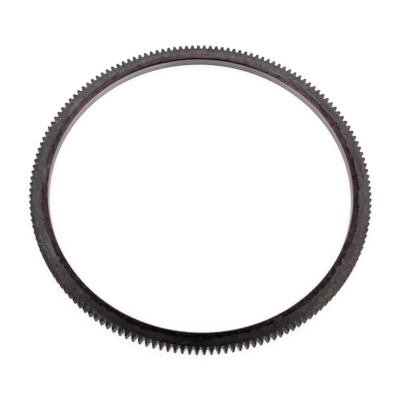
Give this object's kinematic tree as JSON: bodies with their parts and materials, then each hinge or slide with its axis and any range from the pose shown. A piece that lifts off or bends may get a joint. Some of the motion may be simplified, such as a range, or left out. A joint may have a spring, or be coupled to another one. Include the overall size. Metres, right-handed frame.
{
  "type": "flywheel ring gear",
  "caption": "Toothed steel ring that is shrunk onto the rim of an engine's flywheel, for the starter's pinion to turn.",
  "frame": {"origin": "centre of the bore, in the plane of the lower face", "axes": "+Z along the bore's axis, towards the face that the starter's pinion enters from; +X through the middle of one tooth"},
  "size_m": [0.486, 0.486, 0.017],
  "materials": {
    "hardened_steel": "dark tempering oxide from induction hardening, with purple, blue-grey and brown bands; turned bore"
  },
  "bodies": {
    "root": {"ring_gear": "hardened_steel"}
  },
  "joints": []
}
